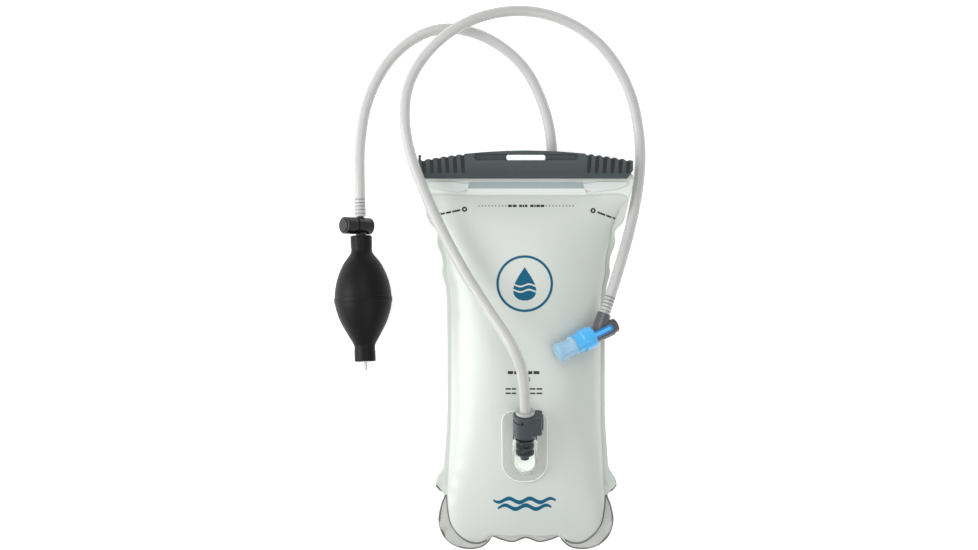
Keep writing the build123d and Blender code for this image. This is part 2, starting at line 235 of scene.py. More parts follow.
def mouldedGroup(grainSpread=0.12):
    colour, value = "NodeSocketColor", "NodeSocketFloat"
    group, start, end = newGroup(
        "mouldedSurface",
        [("Colour", colour, (0.5, 0.5, 0.5, 1)), ("Worn Colour", colour, (0.6, 0.6, 0.6, 1)),
         ("Grain Scale", value, 900.0), ("Worn Amount", value, 0.25),
         ("Roughness", value, 0.5), ("Rough Spread", value, 0.15)],
        [("Colour", colour), ("Roughness", value), ("Height", value)])
    links = group.links
    place = addNode(group, "ShaderNodeTexCoord").outputs["Object"]
    grain = addNode(group, "ShaderNodeTexNoise", Detail=4.0, Roughness=0.6)
    links.new(place, grain.inputs["Vector"])
    links.new(start.outputs["Grain Scale"], grain.inputs["Scale"])
    broad = addNode(group, "ShaderNodeTexNoise", Scale=28.0, Detail=5.0, Roughness=0.65)
    links.new(place, broad.inputs["Vector"])
    scuff = addNode(group, "ShaderNodeTexNoise", Scale=160.0, Detail=6.0, Roughness=0.75, Distortion=1.5)
    links.new(place, scuff.inputs["Vector"])
    band = addNode(group, "ShaderNodeMapRange", From_Min=0.52, From_Max=0.75)
    links.new(scuff.outputs["Fac"], band.inputs["Value"])
    worn = mathNode(group, "MULTIPLY", band.outputs[0], start.outputs["Worn Amount"])
    tone = mixColour(group, worn, start.outputs["Colour"], start.outputs["Worn Colour"])
    links.new(tone, end.inputs["Colour"])
    centred = mathNode(group, "SUBTRACT", broad.outputs["Fac"], 0.5)
    spread = mathNode(group, "MULTIPLY", centred, start.outputs["Rough Spread"])
    rough = mathNode(group, "ADD", start.outputs["Roughness"], spread)
    fine = mathNode(group, "MULTIPLY", mathNode(group, "SUBTRACT", grain.outputs["Fac"], 0.5), grainSpread)
    links.new(mathNode(group, "ADD", rough, fine), end.inputs["Roughness"])
    links.new(grain.outputs["Fac"], end.inputs["Height"])
    return group


def hazyGroup(hazeSpread=0.16):
    colour, value = "NodeSocketColor", "NodeSocketFloat"
    group, start, end = newGroup(
        "hazyFilm",
        [("Colour", colour, (0.8, 0.85, 0.82, 1)), ("Cloud Colour", colour, (0.7, 0.75, 0.73, 1)),
         ("Cloud Scale", value, 18.0), ("Roughness", value, 0.3), ("Haze Scale", value, 500.0)],
        [("Colour", colour), ("Roughness", value), ("Height", value)])
    links = group.links
    place = addNode(group, "ShaderNodeTexCoord").outputs["Object"]
    cloud = addNode(group, "ShaderNodeTexNoise", Detail=3.0, Roughness=0.5, Distortion=0.6)
    links.new(place, cloud.inputs["Vector"])
    links.new(start.outputs["Cloud Scale"], cloud.inputs["Scale"])
    haze = addNode(group, "ShaderNodeTexNoise", Detail=3.0, Roughness=0.55)
    links.new(place, haze.inputs["Vector"])
    links.new(start.outputs["Haze Scale"], haze.inputs["Scale"])
    tone = mixColour(group, cloud.outputs["Fac"], start.outputs["Colour"], start.outputs["Cloud Colour"])
    links.new(tone, end.inputs["Colour"])
    soft = mathNode(group, "MULTIPLY", mathNode(group, "SUBTRACT", haze.outputs["Fac"], 0.5), hazeSpread)
    links.new(mathNode(group, "ADD", start.outputs["Roughness"], soft), end.inputs["Roughness"])
    links.new(haze.outputs["Fac"], end.inputs["Height"])
    return group


moulded = mouldedGroup()
hazy = hazyGroup()


def makeMaterial(name, group, values, bump=0.1, distance=0.0002, **shader):
    material = bpy.data.materials.new(name)
    material.use_nodes = True
    tree = material.node_tree
    tree.nodes.clear()
    out = tree.nodes.new("ShaderNodeOutputMaterial")
    skin = tree.nodes.new("ShaderNodeBsdfPrincipled")
    tree.links.new(skin.outputs[0], out.inputs[0])
    look = tree.nodes.new("ShaderNodeGroup")
    look.node_tree = group
    for key, value in values.items():
        look.inputs[key].default_value = value
    tree.links.new(look.outputs["Colour"], skin.inputs["Base Color"])
    tree.links.new(look.outputs["Roughness"], skin.inputs["Roughness"])
    relief = addNode(tree, "ShaderNodeBump", Strength=bump, Distance=distance)
    tree.links.new(look.outputs["Height"], relief.inputs["Height"])
    tree.links.new(relief.outputs[0], skin.inputs["Normal"])
    for key, value in shader.items():
        skin.inputs[key.replace("_", " ")].default_value = value
    return material


def plastic(name, colour, worn, roughness, grain=900.0, wornAmount=0.2, bump=0.12, **shader):
    values = {"Colour": colour, "Worn Colour": worn, "Grain Scale": grain, "Worn Amount": wornAmount,
              "Roughness": roughness}
    return makeMaterial(name, moulded, values, bump, **shader)


def clearSkin(name, colour, cloud, roughness, cloudScale=18.0, hazeScale=500.0, bump=0.05, **shader):
    values = {"Colour": colour, "Cloud Colour": cloud, "Cloud Scale": cloudScale, "Roughness": roughness,
              "Haze Scale": hazeScale}
    return makeMaterial(name, hazy, values, bump, **shader)


barPlastic = plastic("barPlastic", (0.032, 0.045, 0.048, 1), (0.075, 0.092, 0.096, 1), 0.38)
pocketShade = plastic("pocketShade", (0.007, 0.010, 0.011, 1), (0.016, 0.022, 0.024, 1), 0.5)
connectorPlastic = plastic("connectorPlastic", (0.045, 0.055, 0.062, 1), (0.09, 0.10, 0.11, 1), 0.36)
paleMoulding = plastic("paleMoulding", (0.62, 0.66, 0.64, 1), (0.70, 0.73, 0.72, 1), 0.35)
valveGrey = plastic("valveGrey", (0.075, 0.08, 0.088, 1), (0.15, 0.16, 0.17, 1), 0.25, wornAmount=0.3,
                    Coat_Weight=0.6, Coat_Roughness=0.12)
valveBlue = plastic("valveBlue", (0.07, 0.47, 0.90, 1), (0.14, 0.54, 0.93, 1), 0.2, Coat_Weight=0.6,
                    Coat_Roughness=0.1)
valveBlueDeep = plastic("valveBlueDeep", (0.012, 0.20, 0.58, 1), (0.05, 0.28, 0.66, 1), 0.25,
                        Coat_Weight=0.3)
blackRubber = plastic("blackRubber", (0.006, 0.006, 0.0065, 1), (0.012, 0.012, 0.013, 1), 0.46, grain=700.0,
                      bump=0.2, Specular_IOR_Level=0.16)
blackPlastic = plastic("blackPlastic", (0.007, 0.007, 0.008, 1), (0.02, 0.02, 0.023, 1), 0.25)
sealRubber = plastic("sealRubber", (0.02, 0.02, 0.02, 1), (0.04, 0.04, 0.04, 1), 0.5)
springSteel = plastic("springSteel", (0.6, 0.6, 0.58, 1), (0.4, 0.4, 0.4, 1), 0.3, Metallic=1.0)
ballSteel = plastic("ballSteel", (0.75, 0.75, 0.76, 1), (0.6, 0.6, 0.6, 1), 0.12, Metallic=1.0)
bagFilm = clearSkin("bagFilm", (0.60, 0.635, 0.59, 1), (0.55, 0.59, 0.55, 1), 0.36, cloudScale=9.0,
                    Coat_Weight=0.3, Coat_Roughness=0.25)
mouthFilm = clearSkin("mouthFilm", (0.72, 0.75, 0.71, 1), (0.66, 0.70, 0.67, 1), 0.3, cloudScale=30.0,
                      Coat_Weight=0.3)
hemFilm = clearSkin("hemFilm", (0.58, 0.59, 0.56, 1), (0.52, 0.53, 0.50, 1), 0.3, cloudScale=40.0,
                    Transmission_Weight=0.2, IOR=1.2)
# the dark line material is partly painted shade in the crease at the foot's corners
hemLineAndCreaseShade = clearSkin("hemLineAndCreaseShade", (0.12, 0.12, 0.11, 1), (0.16, 0.16, 0.15, 1), 0.35)
hoseSkin = clearSkin("hoseSkin", (0.70, 0.705, 0.695, 1), (0.66, 0.665, 0.655, 1), 0.2, cloudScale=60.0,
                     bump=0.0, Transmission_Weight=0.3, IOR=1.4)
clearMoulding = clearSkin("clearMoulding", (0.985, 0.99, 0.985, 1), (0.97, 0.98, 0.97, 1), 0.06,
                          cloudScale=50.0, bump=0.0, Transmission_Weight=1.0, IOR=1.18)
# the milky moulding glows faintly: painted light that lifts the shade inside the hoods
milkyMouldingPaintedGlow = clearSkin("milkyMouldingPaintedGlow", (0.80, 0.85, 0.81, 1), (0.74, 0.80, 0.76, 1), 0.3,
                          cloudScale=50.0, Emission_Color=(0.92, 1.0, 0.94, 1), Emission_Strength=0.3)
patchFilm = clearSkin("patchFilm", (0.50, 0.515, 0.485, 1), (0.46, 0.48, 0.45, 1), 0.3, Coat_Weight=0.3)
rimFilm = clearSkin("rimFilm", (0.82, 0.84, 0.81, 1), (0.78, 0.80, 0.77, 1), 0.25, cloudScale=30.0)
siliconeBlue = clearSkin("siliconeBlue", (0.50, 0.80, 1.0, 1), (0.42, 0.74, 0.98, 1), 0.12, cloudScale=60.0,
                         bump=0.0, Transmission_Weight=0.35, IOR=1.4, Coat_Weight=0.5)
barbShade = plastic("barbShade", (0.17, 0.175, 0.175, 1), (0.24, 0.245, 0.245, 1), 0.25)
frostedMoulding = clearSkin("frostedMoulding", (0.42, 0.43, 0.42, 1), (0.38, 0.39, 0.38, 1), 0.25,
                            cloudScale=50.0, Coat_Weight=0.4)
# the dark grey band just under the slide bar is painted shadow of the bar
mouthShadowBand = clearSkin("mouthShadowBand", (0.33, 0.40, 0.41, 1), (0.29, 0.36, 0.37, 1), 0.3, cloudScale=30.0)
printTeal = plastic("printTeal", (0.001, 0.10, 0.185, 1), (0.003, 0.115, 0.20, 1), 0.5, wornAmount=0.3,
                    Specular_IOR_Level=0.2)
printDark = plastic("printDark", (0.012, 0.012, 0.014, 1), (0.03, 0.03, 0.035, 1), 0.5)
print("materials made")


# camera and hoses

# the camera looks straight down, and sees the span across at the height of the plane
view = {"lens": 85, "sensor": 36, "centre": (-32.2, 64.6), "plane": 35, "span": 850.9}


def makeCamera():
    data = bpy.data.cameras.new("camera")
    data.lens = view["lens"]
    data.sensor_width = view["sensor"]
    data.clip_end = 20
    camera = bpy.data.objects.new("camera", data)
    away = view["span"] * view["lens"] / view["sensor"]
    camera.location = Vector((view["centre"][0], view["centre"][1], view["plane"] + away)) * mm
    bpy.context.scene.collection.objects.link(camera)
    bpy.context.scene.camera = camera


makeCamera()

hoses = {
    # radii of the tube, sides round it and sections between two points of its route
    "outer": 4.75, "bore": 3.2, "sides": 28, "sections": 14,
    # the barb rings that show through a hose's end
    "rings": 5, "ringFrom": 2.2, "ringGap": 3.1, "ringWide": 0.9, "ringProud": 0.12,
    # lengths and the ends of each blend in metres, the routes in millimetres
    "drinkLength": 0.785, "drinkBlend": ((0, 0.022, 0.09), (0, -0.038, 0.09)),
    "airLength": 0.389, "airBlend": ((-0.045, 0.2, 0.01), (0.014, 0.2, 0.01)),
    "drink": [(-1.5, -50.8, 84.4), (-1.5, -22.3, 97.7), (-13.2, 6.4, 98.5), (-34, 36, 82), (-62, 81, 60),
              (-88, 134, 50), (-107, 188, 46), (-103, 241, 30), (-60, 286, 27), (0.5, 301.5, 8),
              (57, 281, 4.75), (92, 235, 4.75), (103.3, 175, 8), (95.5, 120, 24), (77.1, 59.1, 51.1),
              (67, 31.2, 55.6)],
    "air": [(24, 148.4, 10.8), (24, 178.4, 10.8), (17, 214, 4.75), (-1.5, 252, 4.75), (-38.5, 278.5, 4.75),
            (-80.5, 284.5, 4.75), (-117.5, 261.5, 4.75), (-140, 222, 4.75), (-146.5, 181, 9.4),
            (-145.65, 139.7, 18.92), (-144.78, 115.77, 20.59)],
}


def tubeCurve(name, kind, points, radius, roundness):
    data = bpy.data.curves.new(name, "CURVE")
    data.dimensions = "3D"
    data.bevel_depth = radius * mm
    data.bevel_resolution = roundness
    spline = data.splines.new(kind)
    spline.points.add(len(points) - 1)
    for point, target in zip(spline.points, points):
        point.co = (*(Vector(target) * mm), 1)
    return data, spline


def routeCurve(name, points, radius):
    data, spline = tubeCurve(name, "NURBS", points, radius, hoses["sides"] // 4)
    data.resolution_u = hoses["sections"]
    spline.order_u = 3
    spline.use_endpoint_u = True
    return data


def curveMesh(data):
    carrier = bpy.data.objects.new("route", data)
    bpy.context.scene.collection.objects.link(carrier)
    bpy.context.view_layer.update()
    mesh = bpy.data.meshes.new_from_object(carrier)
    bpy.data.objects.remove(carrier)
    return mesh


def makeHose(name, points, node):
    path = [vert.co.copy() for vert in curveMesh(routeCurve(name + "Line", points, 0)).vertices]
    bm = bmesh.new()
    for radius in (hoses["outer"], hoses["bore"]):
        wall = bmesh.new()
        wall.from_mesh(curveMesh(routeCurve(name + "Wall", points, radius)))
        bmesh.ops.recalc_face_normals(wall, faces=wall.faces)
        if radius == hoses["bore"]:
            bmesh.ops.reverse_faces(wall, faces=wall.faces)
        joinInto(bm, wall)
    for place in (path[0], path[-1]):
        rim = [edge for edge in bm.edges if len(edge.link_faces) == 1
               and (edge.verts[0].co - place).length < hoses["outer"] * 1.2 * mm]
        bmesh.ops.bridge_loops(bm, edges=rim)
    bmesh.ops.recalc_face_normals(bm, faces=bm.faces)
    bmesh.ops.scale(bm, vec=(1 / mm, 1 / mm, 1 / mm), verts=bm.verts)
    piece = finishPiece(name, bm, None, hoseSkin, (node,))
    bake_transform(piece)


# the filled bag

bag = {
    "seamZ": 31, "rise": 31, "drop": 36, "halfWide": 66,
    # the bag is full between the two crowns and flattens to its mouth and foot
    "crownTop": 10, "crownFoot": -39, "mouthY": 134, "footY": -167, "topFull": 0.9, "footFull": 0.72,
    "sideFull": 0.56, "pucker": 1.1, "puckerReach": 9.0, "sway": 0.5, "swaySize": 34,
    "across": 56, "along": 120, "sideSteps": 240, "ringSteps": 9, "ringRows": 7,
    # the welded edge: its thickness and wave, and where its looks and its beads change
    "filmThick": 1.1, "wave": 1.4, "waveStep": 0.32, "flatAbove": 126, "mouthAbove": 131, "hemBelow": -127,
    "hemHalf": 34, "bandLow": -123.5, "bandHigh": -118.5, "thickBelow": -118,
    # right half of the welded seam and of the film's cut edge outside it, from the mouth to the foot
    "edge": [((0, 134), (0, 153.3)), ((45, 134), (46, 153.3)), ((86, 134), (91, 153.3)),
             ((82, 122), (88.4, 128)), ((77.5, 112), (84.6, 112)), ((74.5, 103), (77.4, 103)),
             ((73.4, 93), (77.2, 92)), ((70.6, 82), (73.4, 81.5)), ((69.6, 74), (72.4, 73.5)),
             ((69.4, 65), (72.6, 65)), ((66.6, 50), (69.2, 50)), ((65.8, 16), (68.4, 16)),
             ((65.8, -20), (68.3, -20)), ((65.8, -57), (68.4, -57)), ((66.4, -74), (69.3, -74)),
             ((67.4, -92), (70.6, -92)), ((68, -103), (71.8, -103)), ((68.5, -112), (76.9, -111.5)),
             ((68.8, -118), (78.6, -117.6)), ((69, -123), (75, -122.6)), ((69, -127.5), (70.4, -127)),
             ((68.3, -138), (73.4, -136)), ((66.2, -150), (75.6, -149)), ((61.4, -158.5), (72.4, -161)),
             ((57, -163.2), (65.6, -168.6)), ((52, -167), (57, -172.6)), ((46.5, -168.9), (47.5, -173.6)),
             ((40.5, -168.9), (39, -172)), ((35, -166.8), (33.2, -167.8)), ((29, -162.4), (29.3, -162.9)),
             ((22, -163), (22.4, -165.3)), ((11, -163.8), (11.5, -167.6)), ((0, -162.4), (0, -164.2))],
    "mouthCorner": 2, "footCorner": 23,
}


def bothSides(which):
    right = [Vector(pair[which]) for pair in bag["edge"]]
    left = [Vector((-point.x, point.y)) for point in right[1:-1]]
    return right + left[::-1]


def rowsOf(points, steps):
    count = len(points)
    line = []
    for number in range(count):
        ring = [points[(number + shift) % count] for shift in (-1, 0, 1, 2)]
        line += [curvePoint(*ring, step / steps) for step in range(steps)]
    return line


def pucker(place, reach):
    inward = math.exp(-reach / bag["puckerReach"])
    return inward * (ripple(place.x, place.y, 11, 3.1) + 0.6 * ripple(place.x, place.y, 5.5, 7.7))


def alongCurve(points, share):
    place = share * (len(points) - 1)
    number = min(int(place), len(points) - 2)
    return points[number].lerp(points[number + 1], place - number)


def evenly(points):
    lengths = [0.0]
    for a, b in zip(points, points[1:]):
        lengths.append(lengths[-1] + (b - a).length)
    out = []
    count = bag["sideSteps"]
    number = 0
    for step in range(count + 1):
        target = lengths[-1] * step / count
        while number < len(lengths) - 2 and lengths[number + 1] < target:
            number += 1
        span = lengths[number + 1] - lengths[number]
        out.append(points[number].lerp(points[number + 1], clamp((target - lengths[number]) / span)))
    return out


def seamSides():
    seam = rowsOf(bothSides(0), bag["ringSteps"])
    steps = bag["ringSteps"]
    mouth, foot = bag["mouthCorner"] * steps, bag["footCorner"] * steps
    count = len(seam)
    top = evenly([seam[(number - mouth) % count] for number in range(0, 2 * mouth + 1)])
    right = evenly(seam[mouth:foot + 1])
    bottom = evenly(seam[foot:count - foot + 1])
    left = [Vector((-point.x, point.y)) for point in right]
    return top, right, bottom[::-1], left


def fillLevel(y):
    top = clamp((y - bag["crownTop"]) / (bag["mouthY"] - bag["crownTop"]))
    foot = clamp((bag["crownFoot"] - y) / (bag["crownFoot"] - bag["footY"]))
    return (1 - top ** 2) ** bag["topFull"] * (1 - foot ** 2) ** bag["footFull"]


def filmSheet(side):
    bm = bmesh.new()
    bmesh.ops.create_grid(bm, x_segments=bag["across"], y_segments=bag["along"], size=0.5)
    top, right, bottom, left = seamSides()
    corners = (top[0], top[-1], bottom[0], bottom[-1])
    for vert in bm.verts:
        u, v = vert.co.x + 0.5, 0.5 - vert.co.y
        # columns stand closer near the two side seams
        u = 0.5 - 0.5 * math.cos(math.pi * u) * (0.6 + 0.4 * abs(2 * u - 1)) if 0 < u < 1 else u
        flat = (alongCurve(top, u) * (1 - v) + alongCurve(bottom, u) * v
                + alongCurve(left, v) * (1 - u) + alongCurve(right, v) * u
                - (corners[0] * (1 - v) * (1 - u) + corners[1] * (1 - v) * u
                   + corners[2] * v * (1 - u) + corners[3] * v * u))
        dome = max(0.0, 1 - (2 * u - 1) ** 2) ** bag["sideFull"]
        level = fillLevel(flat.y) if 0 < v < 1 else 0
        depth = bag["rise"] if side > 0 else bag["drop"]
        reach = min(u, 1 - u) * 2 * bag["halfWide"]
        lift = depth * dome * level
        lift += bag["pucker"] * pucker(flat, reach) * smoothStep(reach, 0, 4) * level ** 0.3
        lift += bag["sway"] * ripple(flat.x, flat.y, bag["swaySize"], 5.0) * dome * level
        z = bag["seamZ"] + side * lift
        vert.co = (flat.x, flat.y, max(z, 0.0))
    if side < 0:
        bmesh.ops.reverse_faces(bm, faces=bm.faces)
    return bm


def filledBag():
    bm = filmSheet(1)
    joinInto(bm, filmSheet(-1))
    bmesh.ops.remove_doubles(bm, verts=bm.verts, dist=0.02)
    bmesh.ops.recalc_face_normals(bm, faces=bm.faces)
    surface = BVHTree.FromBMesh(bm)
    replaced = ("front_panel", "back_panel")
    return finishPiece("bagFilm", bm, root, bagFilm, replaced, sharp=75), surface


def edgePiece(name, bm, lookAt):
    # looks: 0 the bag's film, 1 the mouth, 2 the hem, 3 the dark line, which along the weld line in the
    # foot's corners is painted crease shade
    piece = finishPiece(name, bm, root, bagFilm, sharp=80)
    for material in (mouthFilm, hemFilm, hemLineAndCreaseShade):
        piece.data.materials.append(material)
    for face in piece.data.polygons:
        face.material_index = lookAt(face.center / mm)
    return piece


def bandLook(place):
    return 1 if place.y > bag["mouthAbove"] else (2 if place.y < bag["hemBelow"] else 0)


def weldedEdge():
    inner, outer = rowsOf(bothSides(0), bag["ringSteps"]), rowsOf(bothSides(1), bag["ringSteps"])
    count = len(inner)
    bm = bmesh.new()
    bmesh.ops.create_grid(bm, x_segments=count, y_segments=bag["ringRows"], size=0.5)
    for vert in bm.verts:
        number = round((vert.co.x + 0.5) * count) % count
        out = vert.co.y + 0.5
        flat = (inner[number] * (1 - out) + outer[number] * out)
        width = (outer[number] - inner[number]).length
        turn = number * bag["waveStep"] + ripple(flat.x, flat.y, 20, 1) * 4
        wave = bag["wave"] * smoothStep(width, 5, 12) * out * math.sin(turn)
        if flat.y > bag["flatAbove"]:
            wave = 0
        vert.co = (flat.x, flat.y, bag["seamZ"] + wave)
    bmesh.ops.remove_doubles(bm, verts=bm.verts, dist=0.01)
    bmesh.ops.recalc_face_normals(bm, faces=bm.faces)
    piece = edgePiece("weldedEdge", bm, bandLook)
    thick = piece.modifiers.new("twoFilms", "SOLIDIFY")
    thick.thickness = bag["filmThick"] * mm
    thick.offset = 0


def beadLook(place, outer):
    # along the weld line the foot's corners take the dark line: painted shade in the crease where the full
    # bag meets its flat flange
    hem = place.y < bag["hemBelow"] and (outer or abs(place.x) > bag["hemHalf"])
    tick = outer and bag["bandLow"] < place.y < bag["bandHigh"]
    return 3 if hem or tick else 0


def beadLine(points, radius, shares=()):
    data, spline = tubeCurve("bead", "POLY", points, radius, 2)
    spline.use_cyclic_u = True
    for point, share in zip(spline.points, shares):
        point.radius = share
    bm = inMillimetres(curveMesh(data))
    bmesh.ops.recalc_face_normals(bm, faces=bm.faces)
    return bm


def edgeBeads():
    # which edge a bead follows, its height over the seam and its radius
    for name, which, lift, radius in (("cutEdge", 1, 0.0, 0.85), ("weldLine", 0, 0.4, 0.8)):
        line = rowsOf(bothSides(which), bag["ringSteps"])
        points = [(place.x, place.y, bag["seamZ"] + lift) for place in line]
        shares = [1 if place.y < bag["thickBelow"] else 0.5 for place in line]
        bm = beadLine(points, radius, shares)
        edgePiece(name, bm, lambda place: beadLook(place, which == 1))


bagPiece, bagSurface = filledBag()
weldedEdge()
edgeBeads()
print("bag made")


# prints and patches that follow the film

def filmHeight(x, y, side):
    hit = bagSurface.ray_cast(Vector((x, y, 200 * side)), Vector((0, 0, -side)))[0]
    return hit.z if hit else bag["seamZ"]


def drape(bm, lift, side=1):
    for vert in bm.verts:
        vert.co.z = filmHeight(vert.co.x, vert.co.y, side) + side * (lift + vert.co.z)
    return bm


def flatShape(outline, hole=None, spacing=1.6):
    bm = bmesh.new()
    loops = [outline] + ([hole] if hole else [])
    edges = []
    for loop in loops:
        verts = [bm.verts.new((x, y, 0)) for x, y in loop]
        edges += [bm.edges.new((a, b)) for a, b in zip(verts, verts[1:] + verts[:1])]
    bmesh.ops.triangle_fill(bm, edges=edges, use_beauty=True, use_dissolve=False)
    for _ in range(5):
        longEdges = [edge for edge in bm.edges if edge.calc_length() > spacing * 1.7]
        if not longEdges:
            break
        bmesh.ops.subdivide_edges(bm, edges=longEdges, cuts=1)
        bmesh.ops.triangulate(bm, faces=[face for face in bm.faces if len(face.verts) > 3])
        bmesh.ops.beautify_fill(bm, faces=bm.faces, edges=bm.edges)
    bmesh.ops.recalc_face_normals(bm, faces=bm.faces)
    if sum(face.normal.z for face in bm.faces) < 0:
        bmesh.ops.reverse_faces(bm, faces=bm.faces)
    return bm


prints = {
    "lift": 0.12, "ink": 0.08,
    "emblem": (-1.5, 57.2), "emblemRadius": 24.4, "ring": 2.1, "drop": 14.6, "dropNarrow": 0.95,
    # heights of the drop's tip, of the two light waves that cross it, and of its foot
    "dropLevels": (16, -1.5, -6.2, -13), "lightWave": 0.42, "lightHalf": 0.75,
    "fillY": 124.7, "fillHalf": 41, "fillDots": 28, "fillWords": 17, "dotLong": 1.0, "dotTall": 0.9,
    "wordTall": 2.1, "waveX": -1.5, "waveY": -133.5, "waveHalf": 27,
    "careRing": (1.0, -25.2), "careY": -19.2, "careTall": 2.6, "careLines": (-33.2, -37.0), "lineTall": 1.3,
    # middle, direction and slope of the arrows at each end of the mouth
    "closeArrows": (58.3, 120.6, 1, -0.36), "foldArrows": (-53.5, 121.8, -1, 0.2),
}


def band(centre, half, thick, swell, waves, phase, taper):
    cx, cy = centre
    top, low = [], []
    for number in range(61):
        t = number / 30 - 1
        middle = cy + swell * math.sin(t * waves * math.pi + phase)
        wide = thick / 2 * (1 - taper * t ** 4)
        top.append((cx + t * half, middle + wide))
        low.append((cx + t * half, middle - wide))
    return flatShape(top + low[::-1])


def dash(x0, x1, y, tall, slope=0.0):
    return flatShape([(x0, y - tall / 2 + slope * x0), (x1, y - tall / 2 + slope * x1),
                      (x1, y + tall / 2 + slope * x1), (x0, y + tall / 2 + slope * x0)])


def emblem():
    cx, cy = prints["emblem"]
    outer, inner, drop = prints["emblemRadius"], prints["emblemRadius"] - prints["ring"], prints["drop"]
    bm = flatShape(circlePoints((cx, cy), outer, 96), circlePoints((cx, cy), inner, 96))
    levels = prints["dropLevels"]
    for high, low in zip(levels, levels[1:]):
        points = []
        for number in range(120):
            a = 2 * math.pi * number / 120
            x = drop * math.sin(a) * math.sin(a / 2) ** 1.4 * prints["dropNarrow"]
            y = drop * math.cos(a)
            wave = math.sin(x * prints["lightWave"])
            ceiling = high + wave - (prints["lightHalf"] if high < levels[0] else 0)
            floor = low + wave + (prints["lightHalf"] if low > levels[-1] else -4)
            points.append((cx + x, cy + clamp(y, floor, ceiling)))
        kept = [point for point, after in zip(points, points[1:] + points[:1])
                if (Vector(point) - Vector(after)).length > 0.05]
        joinInto(bm, flatShape(kept))
    return bm


def dottedLine():
    bm = bmesh.new()
    y, half, dots = prints["fillY"], prints["fillHalf"], prints["fillDots"]
    for number in range(dots + 1):
        x = -half + number * 2 * half / dots
        if abs(x) > prints["fillWords"]:
            joinInto(bm, dash(x - prints["dotLong"] / 2, x + prints["dotLong"] / 2, y, prints["dotTall"]))
    for low, high in ((-15.6, -12.4), (-11.6, -8.2), (-6, -3.6), (-3, -1.6), (-1, 1.2), (3.6, 6.6),
                      (7.2, 8.4), (9, 12), (12.6, 15.8)):
        joinInto(bm, dash(low, high, y, prints["wordTall"]))
    return bm


def arrowGlyph(cx, cy, flip, slope):
    bm = flatShape(circlePoints((0, 0), 2.3, 28), circlePoints((0, 0), 0.9, 28))
    for at, width in ((3.8, 6.8), (11.6, 4.6), (17.2, 3.4)):
        x0, x1 = sorted((flip * at, flip * (at + width)))
        joinInto(bm, dash(x0, x1, 0, 1.7, slope))
    tip, low = flip * 24, slope * flip * 24
    joinInto(bm, flatShape([(tip, low), (tip - flip * 3, low + 2.1), (tip - flip * 3, low - 0.9)]))
    bmesh.ops.translate(bm, verts=bm.verts, vec=(cx, cy, 0))
    return bm


def waveMark():
    x, y, half = prints["waveX"], prints["waveY"], prints["waveHalf"]
    bm = band((x, y + 3.4), half, thick=3.6, swell=1.7, waves=3, phase=0, taper=0.5)
    joinInto(bm, band((x, y - 2.6), half * 0.86, thick=3.6, swell=1.7, waves=2.6, phase=1.2, taper=0.5))
    return bm


def careMarks():
    bm = flatShape(circlePoints(prints["careRing"], 2.2, 32), circlePoints(prints["careRing"], 1.6, 32))
    for x0, x1 in ((-16, -11.5), (-10.5, -8), (1.5, 5), (6, 11)):
        joinInto(bm, dash(x0, x1, prints["careY"], prints["careTall"]))
    for y in prints["careLines"]:
        for x0, x1 in ((-18, -13.5), (-12.6, -9), (3, 7.6), (8.6, 13.4)):
            joinInto(bm, dash(x0, x1, y, prints["lineTall"]))
    return bm


def makePrints():
    for name, bm, ink in (("emblemPrint", emblem(), printTeal), ("wavePrint", waveMark(), printTeal),
                          ("fillLine", dottedLine(), printDark), ("careMarks", careMarks(), printDark),
                          ("closeArrows", arrowGlyph(*prints["closeArrows"]), printDark),
                          ("foldArrows", arrowGlyph(*prints["foldArrows"]), printDark)):
        drape(bm, prints["lift"])
        bmesh.ops.solidify(bm, geom=bm.faces[:], thickness=prints["ink"])
        finishPiece(name, bm, root, ink)


makePrints()
print("prints made")


# spouts

spout = {
    "start": (-1.5, -72, 74.5), "airStart": (24, 125, 10.8),
    # the welded patches under the spouts: half sizes, corners and raised lip
    "patchCentre": (-1.5, -82.9), "patchHalf": (19.9, 30.8), "airPatchCentre": (24, 108),
    "airPatchHalf": (20, 25), "footRound": 17.5, "topRound": 9, "patchThick": 1.3, "patchLift": 0.1,
    "lip": 0.55, "lipAt": 2.0, "lipWide": 0.9, "rim": 0.6, "rimInset": 0.5,
    "well": (-1.5, -96.6), "wellHalf": 9.0, "wellTop": -74, "wellThick": 0.3,
    # the hood over each port and the milky saddle that lines it, whose faint glow is painted light
    "hoodRadius": 10.6, "hoodWall": 1.2, "hoodLong": 26.9, "neck": 3.95,
    "saddleFrom": 8, "saddleSweep": 164, "saddleSteps": 28, "saddleWall": 0.7, "saddleGap": 0.08,
}
portAxis = joints["outlet_plug_pull"]["axis"]
frontPlace = axisFrame(spout["start"], portAxis, (1, 0, 0))
backPlace = axisFrame(spout["airStart"], (0, 1, 0), (-1, 0, 0))


def patchOutline(centre, half, inset):
    cx, cy = centre
    hx, hy = half[0] - inset, half[1] - inset
    top, foot = spout["topRound"], spout["footRound"]
    points = []
    for sx, sy, radius, begin in ((1, 1, top, 0), (-1, 1, top, 0.5), (-1, -1, foot, 1), (1, -1, foot, 1.5)):
        radius = max(radius - inset, 1)
        corner = (cx + sx * (hx - radius), cy + sy * (hy - radius))
        points += arcPoints(corner, radius, begin * math.pi, math.pi / 2, 10)
    return points


